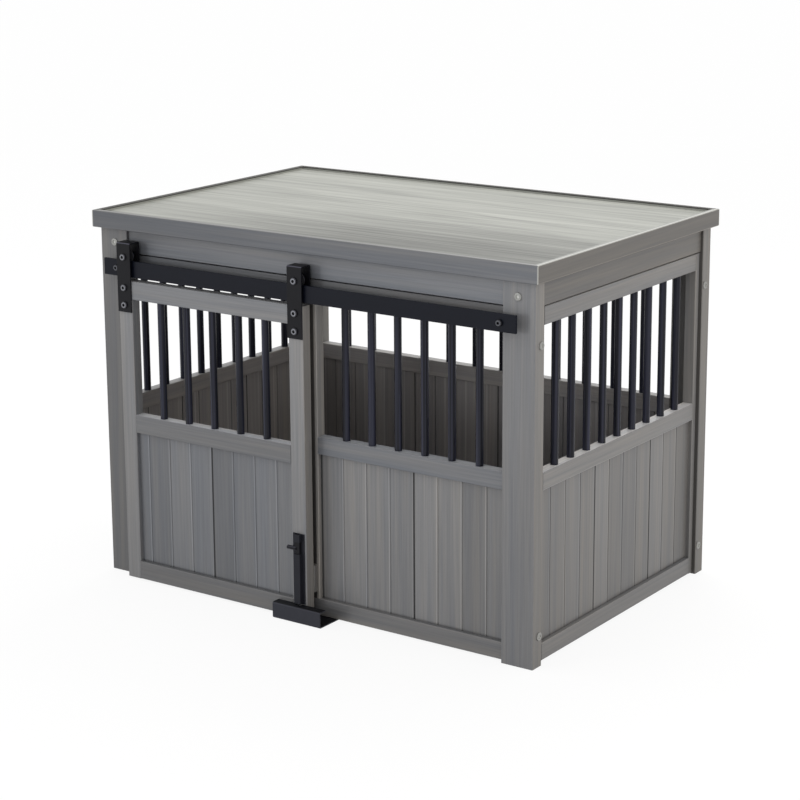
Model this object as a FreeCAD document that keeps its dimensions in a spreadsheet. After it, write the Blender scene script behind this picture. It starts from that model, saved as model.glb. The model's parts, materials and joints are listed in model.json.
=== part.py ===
"""Furniture pet crate with a hanging door that slides on a flat steel track.

Millimetres, +Z up. The origin is on the floor under the middle of the crate's outer box, with the door at -Y.
Every wall has a frame of its own: along it from its left end as seen from outside, inward from the outer
face of the posts, and up from the floor.
"""
import FreeCAD, Part
import os
import re
import Sketcher
from FreeCAD import Placement, Rotation, Vector

SIZES = {
    # Carcass
    "body_width": 1050,
    "body_depth": 688,
    "overall_height": 777,
    "post_width": 70,
    "post_depth": 32,
    "edge_ease": 1.2,
    # Top: a panel let into a mitred rim
    "rim_thick": 12,
    "rim_height": 35,
    "top_panel_thick": 16,
    "top_panel_drop": 6,
    # Apron boards under the top
    "apron_height": 62.5,
    "apron_thick": 20,
    "apron_recess": 6,
    "apron_gap": 2.5,
    # Wall frames
    "wall_thick": 24,
    "wall_recess": 8,
    "rail_width": 35,
    "mid_rail_top": 374,
    "batten_width": 14,
    "front_stile_width": 35,
    "doorway_width": 442,
    # Grooved boards that fill the lower half of each frame
    "board_thick": 9,
    "board_recess": 9,
    "plank_pitch": 55.7,
    "planks_per_board": 4,
    "groove_width": 3,
    "groove_depth": 1.5,
    "joint_gap": 0.6,
    # Tube bars in the upper half of each frame
    "bar_diameter": 15,
    "bar_wall": 1.2,
    "bar_socket": 12,
    "socket_clearance": 0.2,
    "front_bar_count": 6,
    "side_bar_count": 9,
    "back_bar_count": 12,
    "door_bar_count": 5,
    # Floor on cleats
    "floor_thick": 9,
    "floor_slack": 1,
    "cleat_width": 18,
    "cleat_height": 18,
    # Post screws
    "screw_head_diameter": 13,
    "screw_head_height": 2.4,
    "screw_diameter": 6,
    "screw_bite": 22,
    "hole_clearance": 0.1,
    "side_screw_inset": 22,
    "side_screw_low": 61,
    "side_screw_drop": 133,
    "face_screw_inset": 37,
    "face_screw_drop": 42,
    # Door
    "door_thick": 24,
    "door_back_gap": 4,
    "door_floor_gap": 1,
    "door_lap_left": 1,
    "door_lap_right": 30,
    "door_stile_width": 35,
    "door_rail_width": 38,
    "door_mid_drop": 14,
    "door_joint_offset": 229,
    # Track
    "track_height": 34,
    "track_thick": 5,
    "track_drop": 7,
    "track_end": 34.5,
    "door_track_gap": 7,
    "spacer_diameter": 18,
    "bolt_diameter": 8,
    "bolt_head_diameter": 13,
    "bolt_bite": 20,
    "stop_gap": 0.5,
    "stop_lap": 1,
    # Strap hangers
    "strap_width": 35,
    "strap_thick": 3,
    "strap_head": 29.5,
    "strap_lap": 65,
    "strap_hook": 7,
    "strap_bend": 3.5,
    "strap_screw_low": 15,
    "strap_screw_pitch": 36,
    "strap_screw_bite": 18,
    "axle_head_height": 4,
    "nut_width": 13,
    "nut_height": 4,
    # Rollers
    "roller_radius": 8.2,
    "flange_radius": 14,
    "roller_width": 13,
    "roller_gap": 0.3,
    "roller_side_gap": 1,
    "roller_flare": 1,
    "track_slack": 0.5,
    "running_clearance": 0.05,
    "sleeve_diameter": 13,
    "sleeve_gap": 0.3,
    # Latch with a flat drop bolt
    "latch_plate_width": 28,
    "latch_sheet": 1.5,
    "latch_bottom_gap": 1,
    "keeper_foot": 1,
    "latch_height": 146,
    "keeper_low_height": 103.5,
    "latch_window": 25.5,
    "drop_width": 12,
    "drop_thick": 6,
    "drop_clearance": 0.3,
    "drop_travel": 7,
    "drop_tip_gap": 0.6,
    "drop_tip_ease": 1.5,
    "drop_top_inset": 5,
    "lever_diameter": 8,
    "lever_length": 18,
    "lever_root": 4,
    "lever_plate_gap": 0.5,
    "lever_rest_gap": 0.5,
    # Floor guide
    "guide_length": 118,
    "guide_reach": 49,
    "guide_tail": 30,
    "guide_height": 34,
    "guide_sheet": 3,
    "guide_bend": 4,
    "guide_door_gap": 1,
    "notch_clearance": 0.7,
    # Guide block behind the door
    "block_width": 18,
    "block_height": 56,
    "block_bottom": 54,
    "block_inset": 4,
    "block_gap": 0.6,
}

DERIVED = {
    # The outer box runs from the guide's front to the rim's back edge and is centred on the origin
    "front_y": "(guide_reach - body_depth - rim_thick) / 2",
    "back_y": "front_y + body_depth",
    # Heights, from the top down
    "post_height": "overall_height - top_panel_drop - top_panel_thick",
    "side_screw_high": "post_height - side_screw_drop",
    "apron_bottom": "post_height - apron_height",
    "wall_top": "apron_bottom - apron_gap",
    "window_top": "wall_top - rail_width",
    "wall_bottom": "guide_sheet",
    "board_bottom": "wall_bottom + rail_width",
    "board_height": "mid_rail_top - rail_width - board_bottom",
    "bar_bottom": "mid_rail_top - bar_socket",
    "bar_length": "window_top - mid_rail_top + 2 * bar_socket",
    "floor_bottom": "board_bottom - floor_thick",
    "wall_back": "wall_recess + wall_thick",
    # Lengths along the walls
    "long_rail": "body_width - 2 * post_width",
    "batten_along": "body_depth - post_depth - batten_width",
    "side_rail_along": "post_depth + batten_width",
    "side_rail": "body_depth - 2 * side_rail_along",
    "stile_along": "post_width + doorway_width",
    "window_along": "stile_along + front_stile_width",
    "window_span": "body_width - post_width - window_along",
    "board_width": "planks_per_board * plank_pitch",
    "front_bar_pitch": "window_span / (front_bar_count + 1)",
    "side_bar_pitch": "side_rail / (side_bar_count + 1)",
    "back_bar_pitch": "long_rail / (back_bar_count + 1)",
    # Door and track
    "door_reach": "door_back_gap + door_thick",
    "door_along": "post_width - door_lap_left",
    "door_width": "doorway_width + door_lap_left + door_lap_right",
    "door_right": "door_along + door_width",
    "track_top": "wall_top - track_drop",
    "track_bottom": "track_top - track_height",
    "door_top": "track_bottom - door_track_gap",
    "door_bottom": "guide_sheet + door_floor_gap",
    "door_height": "door_top - door_bottom",
    "door_mid_top": "mid_rail_top - door_mid_drop",
    "door_rail": "door_width - 2 * door_stile_width",
    "door_rail_along": "door_along + door_stile_width",
    "door_board_bottom": "door_bottom + door_rail_width",
    "door_board_height": "door_mid_top - door_rail_width - door_board_bottom",
    "door_window_top": "door_top - door_rail_width",
    "door_bar_length": "door_window_top - door_mid_top + 2 * bar_socket",
    "door_bar_pitch": "door_rail / (door_bar_count + 1)",
    "track_gap": "door_reach - roller_side_gap - roller_width / 2 - track_thick / 2",
    "track_face": "track_gap + track_thick",
    "track_bolt_along": "door_along - stop_gap - bolt_head_diameter / 2",
    "track_bolt_up": "track_bottom + track_height / 2",
    "track_along": "track_bolt_along - track_end",
    "track_length": "body_width - 2 * track_along",
    "track_bolt_head": "door_reach - track_face + stop_lap",
    "door_travel": "body_width - 2 * track_bolt_along - bolt_head_diameter - 2 * stop_gap - door_width",
    # Hangers
    "hanger_left_along": "door_along",
    "hanger_right_along": "door_right - strap_width",
    "axle_up": "track_top + roller_gap + roller_radius",
    "strap_top": "axle_up + strap_head",
    "strap_bottom": "door_top - strap_lap",
    "strap_face": "door_reach + strap_thick",
    "strap_back": "door_back_gap - strap_thick",
    "roller_middle": "track_gap + track_thick / 2",
    "sleeve_front": "roller_middle - roller_width / 2 - sleeve_gap",
    # Latch, guide and block
    "latch_along": "door_right - door_stile_width / 2",
    "latch_bottom": "guide_height + latch_bottom_gap",
    "plate_face": "door_reach + latch_sheet",
    "keeper_inner": "drop_width + 2 * drop_clearance",
    "keeper_outer": "keeper_inner + 2 * latch_sheet",
    "keeper_depth": "drop_thick + 2 * drop_clearance + latch_sheet",
    "window_bottom": "latch_bottom + keeper_foot + keeper_low_height",
    "drop_tip": "guide_height + drop_tip_gap",
    "drop_length": "latch_bottom + latch_height - drop_top_inset - drop_tip",
    "lever_up": "window_bottom + lever_rest_gap + lever_diameter / 2 + drop_travel",
    "lever_middle": "plate_face + lever_plate_gap + lever_diameter / 2",
    "guide_along": "stile_along + front_stile_width / 2 - guide_length / 2",
    "flange_back": "door_reach + guide_door_gap",
    "notch_width": "drop_width + 2 * notch_clearance",
    "notch_front": "plate_face + drop_clearance + drop_thick + notch_clearance",
    "block_along": "window_along - block_inset - block_width",
    "block_thick": "wall_recess + door_back_gap - block_gap",
}

HEX_SIDES = 6

# A round head narrows to this share of its width at its top and starts to narrow at this share of its height
head_dome_shares = (0.62, 0.45)

doc = FreeCAD.newDocument("pet_crate")
sheet = doc.addObject("Spreadsheet::Sheet", "sizes")
nodes = []


def fill_sheet():
    """Write each size in a row of its own: the name, then the value under that alias."""
    formulas = {name: str(value) for name, value in SIZES.items()}
    formulas.update({name: "=" + formula for name, formula in DERIVED.items()})
    for row, (name, text) in enumerate(formulas.items(), start=1):
        sheet.set(f"A{row}", name)
        sheet.set(f"B{row}", text)
        sheet.setAlias(f"B{row}", name)
    doc.recompute()


def sheet_formula(formula):
    """The formula with each size's name pointed at the sheet."""
    known = SIZES.keys() | DERIVED.keys()
    return re.sub(r"[a-z_]+", lambda word: "sizes." + word[0] if word[0] in known else word[0], str(formula))


def number(formula):
    return float(sheet.evalExpression(sheet_formula(formula)))


def bind(thing, place, formula):
    thing.setExpression(place, sheet_formula(formula))


def stand(piece, wall, along, inward, up):
    """Put a piece into a wall's frame."""
    frames = {
        "front": (f"{along} - body_width / 2", f"front_y + ({inward})", 0),
        "right": (f"body_width / 2 - ({inward})", f"front_y + ({along})", 90),
        "back": (f"body_width / 2 - ({along})", f"back_y - ({inward})", 180),
        "left": (f"{inward} - body_width / 2", f"back_y - ({along})", 270),
    }
    x, y, turn = frames[wall]
    piece.Placement = Placement(Vector(), Rotation(Vector(0, 0, 1), turn))
    bind(piece, "Placement.Base.x", x)
    bind(piece, "Placement.Base.y", y)
    bind(piece, "Placement.Base.z", up)


def new_body(label, wall, along, inward, up):
    body = doc.addObject("PartDesign::Body", label)
    body.AllowCompound = True
    stand(body, wall, along, inward, up)
    return body


def node(piece):
    """Keep a piece, or a group of like pieces, as one named sub-part."""
    nodes.append(piece)
    return piece


def group(label, pieces):
    compound = doc.addObject("Part::Compound", label)
    compound.Links = pieces
    return node(compound)


def origin_feature(body, role):
    return next(feature for feature in body.Origin.OriginFeatures if feature.Role == role)


def new_sketch(body, plane, offset=None):
    sketch = body.newObject("Sketcher::SketchObject", body.Name + "_sketch")
    sketch.AttachmentSupport = [(origin_feature(body, plane), "")]
    sketch.MapMode = "FlatFace"
    if offset:
        bind(sketch, "AttachmentOffset.Base.z", offset)
    return sketch


def pin_point(sketch, geometry, end, across, upward):
    """Hold one point of a sketch at two formulas, measured from the sketch's origin."""
    for kind, formula in (("DistanceX", across), ("DistanceY", upward)):
        held = Sketcher.Constraint(kind, -1, 1, geometry, end, number(formula))
        bind(sketch, f"Constraints[{sketch.addConstraint(held)}]", formula)


def outline(sketch, points):
    """Draw a closed outline of straight lines through points given as pairs of formulas."""
    spots = [Vector(number(across), number(upward), 0) for across, upward in points]
    first = sketch.GeometryCount
    last = len(points) - 1
    for index, spot in enumerate(spots):
        sketch.addGeometry(Part.LineSegment(spot, spots[index - last]), False)
    for index, (across, upward) in enumerate(points):
        following = first + (index + 1) % len(points)
        sketch.addConstraint(Sketcher.Constraint("Coincident", first + index, 2, following, 1))
        pin_point(sketch, first + index, 1, across, upward)


def rectangle(sketch, left, low, right, high):
    outline(sketch, [(left, low), (right, low), (right, high), (left, high)])


def circle(sketch, across, upward, diameter):
    centre = Vector(number(across), number(upward), 0)
    index = sketch.addGeometry(Part.Circle(centre, Vector(0, 0, 1), number(diameter) / 2), False)
    pin_point(sketch, index, 3, across, upward)
    held = Sketcher.Constraint("Diameter", index, number(diameter))
    bind(sketch, f"Constraints[{sketch.addConstraint(held)}]", diameter)


def pad(body, sketch, length, backwards=False):
    feature = body.newObject("PartDesign::Pad", body.Name + "_pad")
    feature.Profile = sketch
    feature.Reversed = backwards
    bind(feature, "Length", length)
    return feature


def pocket(body, sketch, depth, backwards=False):
    feature = body.newObject("PartDesign::Pocket", body.Name + "_pocket")
    feature.Profile = sketch
    feature.Reversed = backwards
    bind(feature, "Length", depth)
    return feature


def repeat(body, feature, count, pitch):
    """Repeat a feature along the body's own length."""
    pattern = body.newObject("PartDesign::LinearPattern", body.Name + "_pattern")
    pattern.Originals = [feature]
    pattern.Direction = (origin_feature(body, "X_Axis"), [""])
    bind(pattern, "Length", f"({pitch}) * ({count} - 1)")
    bind(pattern, "Occurrences", count)
    body.Tip = pattern
    return pattern


def edge_names(feature, wanted):
    doc.recompute()
    return [f"Edge{index}" for index, edge in enumerate(feature.Shape.Edges, start=1) if wanted(edge)]


def runs_along(axis):
    def wanted(edge):
        return edge.Curve.TypeId == "Part::GeomLine" and abs(edge.Curve.Direction.dot(axis)) > 0.999
    return wanted


def ease(body, feature, wanted, kind, size_name, size):
    """Chamfer or round the wanted edges of a feature."""
    names = edge_names(feature, wanted)
    eased = body.newObject("PartDesign::" + kind, body.Name + "_ease")
    eased.Base = (feature, names)
    bind(eased, size_name, size)
    return eased


def timber(label, wall, spot, size, upright=False):
    """A sawn board with eased long edges: its section is drawn and padded along its grain."""
    body = new_body(label, wall, *spot)
    along, inward, up = size
    sketch = new_sketch(body, "XY_Plane" if upright else "YZ_Plane")
    if upright:
        rectangle(sketch, 0, 0, along, inward)
    else:
        rectangle(sketch, 0, 0, inward, up)
    block = pad(body, sketch, up if upright else along)
    grain = Vector(0, 0, 1) if upright else Vector(1, 0, 0)
    ease(body, block, runs_along(grain), "Chamfer", "Size", "edge_ease")
    return node(body)


def bore_sockets(rail, face_up, first, count, pitch, depth_middle):
    """Blind holes for the bars in a rail's upper face, or in its lower face where no height is given."""
    sketch = new_sketch(rail, "XY_Plane", face_up)
    circle(sketch, first, depth_middle, "bar_diameter + 2 * socket_clearance")
    hole = pocket(rail, sketch, "bar_socket", backwards=face_up is None)
    repeat(rail, hole, count, pitch)


def bars(label, wall, spot, length, count, pitch):
    """A row of steel tubes, each let into the rails at both ends."""
    body = new_body(label, wall, *spot)
    sketch = new_sketch(body, "XY_Plane")
    circle(sketch, 0, 0, "bar_diameter")
    circle(sketch, 0, 0, "bar_diameter - 2 * bar_wall")
    repeat(body, pad(body, sketch, length), count, pitch)
    return node(body)


def boards(label, wall, spot, span, height, first_seam):
    """Grooved boards side by side: a V in both faces at each plank, and a gap where two boards meet."""
    body = new_body(label, wall, *spot)
    sketch = new_sketch(body, "XY_Plane")
    rectangle(sketch, 0, 0, span, "board_thick")
    pad(body, sketch, height)

    grooves = new_sketch(body, "XY_Plane")
    for face, bottom in ((0, "groove_depth"), ("board_thick", "board_thick - groove_depth")):
        outline(grooves, [(f"{first_seam} - groove_width / 2", face), (f"{first_seam} + groove_width / 2", face),
                          (first_seam, bottom)])
    seam_count = f"floor(({span} - ({first_seam})) / plank_pitch) + 1"
    repeat(body, pocket(body, grooves, height, backwards=True), seam_count, "plank_pitch")

    joint = f"({first_seam} + min(planks_per_board - 1; {seam_count} - 1) * plank_pitch)"
    gap = new_sketch(body, "XY_Plane")
    rectangle(gap, f"{joint} - joint_gap / 2", 0, f"{joint} + joint_gap / 2", "board_thick")
    joint_count = f"max(1; floor(({span} - {joint}) / board_width - 1 / 2) + 1)"
    repeat(body, pocket(body, gap, height, backwards=True), joint_count, "board_width")
    return node(body)


def turned(label, wall, spot, profile):
    """A round piece whose axis points inward: its half section is drawn as radius and depth, and revolved."""
    body = new_body(label, wall, *spot)
    sketch = new_sketch(body, "XY_Plane")
    outline(sketch, profile)
    feature = body.newObject("PartDesign::Revolution", label + "_turn")
    feature.Profile = sketch
    feature.ReferenceAxis = (sketch, ["V_Axis"])
    return body


def screw(label, wall, spot, head_diameter, head_height, diameter, bite):
    """A screw with a low domed head that seats on the face at its spot."""
    top_share, side_share = head_dome_shares
    head = f"{head_diameter} / 2"
    return turned(label, wall, spot, [
        (0, f"-({head_height})"), (f"{head} * {top_share}", f"-({head_height})"),
        (head, f"-({head_height}) * {side_share}"), (head, 0),
        (f"{diameter} / 2", 0), (f"{diameter} / 2", bite), (0, bite)])


def tube(label, wall, spot, bore, diameter, length):
    inner = f"({bore}) / 2"
    outer = f"({diameter}) / 2"
    return turned(label, wall, spot, [(inner, 0), (outer, 0), (outer, length), (inner, length)])


def top():
    body = new_body("top_panel", "front", 0, 0, "post_height")
    sketch = new_sketch(body, "XY_Plane")
    rectangle(sketch, 0, 0, "body_width", "body_depth")
    pad(body, sketch, "top_panel_thick")
    node(body)
    for wall in ("front", "right", "back", "left"):
        length = "body_width" if wall in ("front", "back") else "body_depth"
        rim = new_body("top_rim_" + wall, wall, 0, 0, "overall_height - rim_height")
        mitred = new_sketch(rim, "XY_Plane")
        outline(mitred, [("-rim_thick", "-rim_thick"), (f"{length} + rim_thick", "-rim_thick"),
                         (length, 0), (0, 0)])
        block = pad(rim, mitred, "rim_height")
        ease(rim, block, runs_along(Vector(1, 0, 0)), "Chamfer", "Size", "edge_ease")
        node(rim)


def post(label, wall, along, outer_end, track_hole):
    """A corner post with the holes of its screws, and of the track's bolt on the front posts."""
    body = timber(label, wall, (along, 0, 0), ("post_width", "post_depth", "post_height"), upright=True)
    hole = "screw_diameter + 2 * hole_clearance"

    side = new_sketch(body, "YZ_Plane", outer_end)
    for up in ("side_screw_low", "side_screw_high"):
        circle(side, "side_screw_inset", up, hole)
    pocket(body, side, "screw_bite", backwards=outer_end is None)

    face = new_sketch(body, "XZ_Plane")
    inset = "post_width - face_screw_inset" if outer_end else "face_screw_inset"
    circle(face, inset, "post_height - face_screw_drop", hole)
    pocket(body, face, "screw_bite")

    if track_hole:
        bolt = new_sketch(body, "XZ_Plane")
        across = "post_width - track_bolt_along" if outer_end else "track_bolt_along"
        circle(bolt, across, "track_bolt_up", "bolt_diameter + 2 * hole_clearance")
        pocket(body, bolt, "bolt_bite")


def posts():
    far = "body_width - post_width"
    post("post_front_left", "front", 0, None, track_hole=True)
    post("post_front_right", "front", far, "post_width", track_hole=True)
    post("post_back_right", "back", 0, None, track_hole=False)
    post("post_back_left", "back", far, "post_width", track_hole=False)

    head = ("screw_head_diameter", "screw_head_height", "screw_diameter", "screw_bite")
    spots = [(wall, along, up) for wall in ("left", "right")
             for along in ("side_screw_inset", "body_depth - side_screw_inset")
             for up in ("side_screw_low", "side_screw_high")]
    spots += [(wall, along, "post_height - face_screw_drop") for wall in ("front", "back")
              for along in ("face_screw_inset", "body_width - face_screw_inset")]
    group("post_screws", [screw("post_screw", wall, (along, 0, up), *head) for wall, along, up in spots])


def aprons():
    for wall in ("front", "right", "back", "left"):
        ends = "post_width" if wall in ("front", "back") else "post_depth"
        length = f"{'body_width' if wall in ('front', 'back') else 'body_depth'} - 2 * {ends}"
        timber("apron_" + wall, wall, (ends, "apron_recess", "apron_bottom"),
               (length, "apron_thick", "apron_height"))


def wall_rail(label, wall, along, up, length):
    return timber(label, wall, (along, "wall_recess", up), (length, "wall_thick", "rail_width"))


def wall_bars(wall, along, count, pitch):
    bars(wall + "_bars", wall, (f"{along} + {pitch}", "wall_recess + wall_thick / 2", "bar_bottom"),
         "bar_length", count, pitch)


def wall_boards(wall, along, span, first_seam):
    boards(wall + "_boards", wall, (along, "wall_recess + board_recess", "board_bottom"), span,
           "board_height", first_seam)


def front_wall():
    """A fixed panel beside the doorway. Its top and bottom rails run on across the doorway."""
    count, pitch = "front_bar_count", "front_bar_pitch"
    top_rail = wall_rail("front_top_rail", "front", "post_width", "window_top", "long_rail")
    bore_sockets(top_rail, None, f"window_along - post_width + {pitch}", count, pitch, "wall_thick / 2")
    mid_rail = wall_rail("front_mid_rail", "front", "window_along", "mid_rail_top - rail_width", "window_span")
    bore_sockets(mid_rail, "rail_width", pitch, count, pitch, "wall_thick / 2")
    wall_rail("front_bottom_rail", "front", "post_width", "wall_bottom", "long_rail")
    timber("front_stile", "front", ("stile_along", "wall_recess", "board_bottom"),
           ("front_stile_width", "wall_thick", "window_top - board_bottom"), upright=True)
    wall_bars("front", "window_along", count, pitch)
    wall_boards("front", "window_along", "window_span", "plank_pitch")


def barred_wall(wall, along, length, count, pitch, first_seam):
    """A wall that is one frame from post to post: three rails, bars above and boards below."""
    top_rail = wall_rail(wall + "_top_rail", wall, along, "window_top", length)
    bore_sockets(top_rail, None, pitch, count, pitch, "wall_thick / 2")
    mid_rail = wall_rail(wall + "_mid_rail", wall, along, "mid_rail_top - rail_width", length)
    bore_sockets(mid_rail, "rail_width", pitch, count, pitch, "wall_thick / 2")
    wall_rail(wall + "_bottom_rail", wall, along, "wall_bottom", length)
    wall_bars(wall, along, count, pitch)
    wall_boards(wall, along, length, first_seam)


def side_walls():
    """The side frames have a narrow batten against each post, which trims the outer planks."""
    for wall in ("left", "right"):
        barred_wall(wall, "side_rail_along", "side_rail", "side_bar_count", "side_bar_pitch",
                    "plank_pitch - batten_width")
        pair = []
        for along in ("post_depth", "batten_along"):
            pair.append(timber(wall + "_batten", wall, (along, "wall_recess", "wall_bottom"),
                               ("batten_width", "wall_thick", "wall_top - wall_bottom"), upright=True))
            nodes.pop()
        group(wall + "_battens", pair)


def back_wall():
    """The seams are set out so that the planks at both ends are alike."""
    first_seam = "(long_rail - floor(long_rail / plank_pitch - 1) * plank_pitch) / 2"
    barred_wall("back", "post_width", "long_rail", "back_bar_count", "back_bar_pitch", first_seam)


def crate_floor():
    """A floor panel on two cleats and a middle bearer."""
    inner = "body_width - 2 * wall_back"
    corner = "wall_back + floor_slack"
    body = new_body("floor_panel", "front", corner, corner, "floor_bottom")
    sketch = new_sketch(body, "XY_Plane")
    rectangle(sketch, 0, 0, f"{inner} - 2 * floor_slack", "body_depth - 2 * (wall_back + floor_slack)")
    pad(body, sketch, "floor_thick")
    node(body)
    size = (inner, "cleat_width", "cleat_height")
    up = "floor_bottom - cleat_height"
    middle = "body_depth / 2 - cleat_width / 2"
    places = (("front", "wall_back"), ("back", "wall_back"), ("front", middle))
    cleats = [timber("floor_cleat", wall, ("wall_back", inward, up), size) for wall, inward in places]
    del nodes[-len(cleats):]
    group("floor_cleats", cleats)


def door_frame():
    """Stiles that run the door's whole height, with three rails between them."""
    face = "-door_reach"
    for side, along in (("left", "door_along"), ("right", "door_right - door_stile_width")):
        stile = timber("door_stile_" + side, "front", (along, face, "door_bottom"),
                       ("door_stile_width", "door_thick", "door_height"), upright=True)
        holes = new_sketch(stile, "XZ_Plane")
        hanger_middle = f"hanger_{side}_along + strap_width / 2 - ({along})"
        for up in ("strap_screw_low", "strap_screw_low + strap_screw_pitch"):
            circle(holes, hanger_middle, f"strap_bottom + {up} - door_bottom",
                   "screw_diameter + 2 * hole_clearance")
        pocket(stile, holes, "strap_screw_bite")
    rail_size = ("door_rail", "door_thick", "door_rail_width")
    count, pitch = "door_bar_count", "door_bar_pitch"
    top_rail = timber("door_top_rail", "front", ("door_rail_along", face, "door_window_top"), rail_size)
    bore_sockets(top_rail, None, pitch, count, pitch, "door_thick / 2")
    mid_rail = timber("door_mid_rail", "front",
                      ("door_rail_along", face, "door_mid_top - door_rail_width"), rail_size)
    bore_sockets(mid_rail, "door_rail_width", pitch, count, pitch, "door_thick / 2")
    timber("door_bottom_rail", "front", ("door_rail_along", face, "door_bottom"), rail_size)
    bars("door_bars", "front", (f"door_rail_along + {pitch}", "door_thick / 2 - door_reach",
                                "door_mid_top - bar_socket"), "door_bar_length", count, pitch)
    first_seam = "door_joint_offset - door_stile_width - (planks_per_board - 1) * plank_pitch"
    boards("door_boards", "front", ("door_rail_along", "board_recess - door_reach", "door_board_bottom"),
           "door_rail", "door_board_height", first_seam)


def track():
    """A flat bar on edge, held off the posts by spacers. Its bolt heads stop the hangers."""
    body = new_body("track_bar", "front", "track_along", "-track_face", "track_bottom")
    sketch = new_sketch(body, "YZ_Plane")
    rectangle(sketch, 0, 0, "track_thick", "track_height")
    pad(body, sketch, "track_length")
    holes = new_sketch(body, "XZ_Plane")
    for across in ("track_end", "track_length - track_end"):
        circle(holes, across, "track_height / 2", "bolt_diameter + 2 * hole_clearance")
    pocket(body, holes, "track_thick")
    node(body)

    ends = ("track_bolt_along", "body_width - track_bolt_along")
    group("track_spacers", [
        tube("track_spacer", "front", (along, "-track_gap", "track_bolt_up"),
             "bolt_diameter + 2 * hole_clearance", "spacer_diameter", "track_gap") for along in ends])
    group("track_bolts", [
        screw("track_bolt", "front", (along, "-track_face", "track_bolt_up"), "bolt_head_diameter",
              "track_bolt_head", "bolt_diameter", "track_face + bolt_bite") for along in ends])


def hanger(side):
    """A strap bent over the roller: a long front leg on the door and a short leg behind the track."""
    along = f"hanger_{side}_along"
    body = new_body("hanger_" + side, "front", along, 0, 0)
    bent = new_sketch(body, "YZ_Plane")
    outline(bent, [
        ("-strap_face", "strap_bottom"), ("-strap_face", "strap_top"), ("-strap_back", "strap_top"),
        ("-strap_back", "track_top - strap_hook"), ("-door_back_gap", "track_top - strap_hook"),
        ("-door_back_gap", "strap_top - strap_thick"), ("-door_reach", "strap_top - strap_thick"),
        ("-door_reach", "strap_bottom")])
    strap = pad(body, bent, "strap_width")
    height = number("strap_top - strap_thick / 2")

    def outer_bend(edge):
        return runs_along(Vector(1, 0, 0))(edge) and edge.BoundBox.ZMin > height

    ease(body, strap, outer_bend, "Fillet", "Radius", "strap_bend")
    axle_hole = new_sketch(body, "XZ_Plane", "strap_face")
    circle(axle_hole, "strap_width / 2", "axle_up", "bolt_diameter + 2 * hole_clearance")
    pocket(body, axle_hole, "strap_face")
    screw_holes = new_sketch(body, "XZ_Plane", "strap_face")
    for up in ("strap_screw_low", "strap_screw_low + strap_screw_pitch"):
        circle(screw_holes, "strap_width / 2", f"strap_bottom + {up}", "screw_diameter + 2 * hole_clearance")
    pocket(body, screw_holes, "strap_thick")
    node(body)


def roller(side):
    """A grooved wheel that straddles the track's upper edge."""
    bore = "bolt_diameter / 2 + running_clearance"
    half = "roller_width / 2"
    floor_half = "(track_thick / 2 + track_slack)"
    rim_half = f"({floor_half} + roller_flare)"
    node(turned("roller_" + side, "front", (f"hanger_{side}_along + strap_width / 2", "-roller_middle", "axle_up"), [
        (bore, f"-{half}"), ("flange_radius", f"-{half}"), ("flange_radius", f"-{rim_half}"),
        ("roller_radius", f"-{floor_half}"), ("roller_radius", floor_half),
        ("flange_radius", rim_half), ("flange_radius", half), (bore, half)]))


def nut(label, along):
    """A hexagon nut on the axle's end, behind the strap's short leg."""
    blank = doc.addObject("Part::Prism", label + "_blank")
    blank.Polygon = HEX_SIDES
    bind(blank, "Circumradius", f"nut_width / 2 / cos(180 deg / {HEX_SIDES})")
    bind(blank, "Height", "nut_height")
    bore = doc.addObject("Part::Cylinder", label + "_bore")
    bind(bore, "Radius", "bolt_diameter / 2")
    bind(bore, "Height", "nut_height")
    cut = doc.addObject("Part::Cut", label)
    cut.Base = blank
    cut.Tool = bore
    stand(cut, "front", f"{along} + strap_width / 2", "-strap_back", "axle_up")
    cut.Placement.Rotation = Rotation(Vector(1, 0, 0), -90)
    return cut


def hangers():
    """Straps, rollers, and the axle bolts, sleeves, nuts and screws that hold them."""
    axles, sleeves, screws = [], [], []
    for side in ("left", "right"):
        hanger(side)
        roller(side)
        along = f"hanger_{side}_along"
        middle = f"{along} + strap_width / 2"
        axles.append(screw("roller_axle", "front", (middle, "-strap_face", "axle_up"), "bolt_head_diameter",
                           "axle_head_height", "bolt_diameter", "strap_face - strap_back + nut_height"))
        axles.append(nut("axle_nut_" + side, along))
        sleeves.append(tube("roller_sleeve", "front", (middle, "-sleeve_front", "axle_up"),
                            "bolt_diameter + 2 * hole_clearance", "sleeve_diameter",
                            "sleeve_front - door_back_gap"))
        for up in ("strap_screw_low", "strap_screw_low + strap_screw_pitch"):
            screws.append(screw("hanger_screw", "front", (middle, "-strap_face", f"strap_bottom + {up}"),
                                "bolt_head_diameter", "axle_head_height", "screw_diameter",
                                "strap_thick + strap_screw_bite"))
    group("roller_axles", axles)
    group("roller_sleeves", sleeves)
    group("hanger_screws", screws)


def latch():
    """A plate with two folded keepers. The drop bolt's lever moves in the window between them."""
    body = new_body("latch_body", "front", "latch_along", "-door_reach", "latch_bottom")
    plate = new_sketch(body, "XY_Plane")
    rectangle(plate, "-latch_plate_width / 2", "-latch_sheet", "latch_plate_width / 2", 0)
    pad(body, plate, "latch_height")
    keeper_high = "keeper_foot + keeper_low_height + latch_window"
    front = "-(latch_sheet + keeper_depth)"
    inner_front = f"{front} + latch_sheet"
    for up, height in (("keeper_foot", "keeper_low_height"), (keeper_high, f"latch_height - ({keeper_high})")):
        fold = new_sketch(body, "XY_Plane", up)
        outline(fold, [
            ("-keeper_outer / 2", "-latch_sheet"), ("-keeper_outer / 2", front),
            ("keeper_outer / 2", front), ("keeper_outer / 2", "-latch_sheet"),
            ("keeper_inner / 2", "-latch_sheet"), ("keeper_inner / 2", inner_front),
            ("-keeper_inner / 2", inner_front), ("-keeper_inner / 2", "-latch_sheet")])
        pad(body, fold, height)
    node(body)


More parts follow.
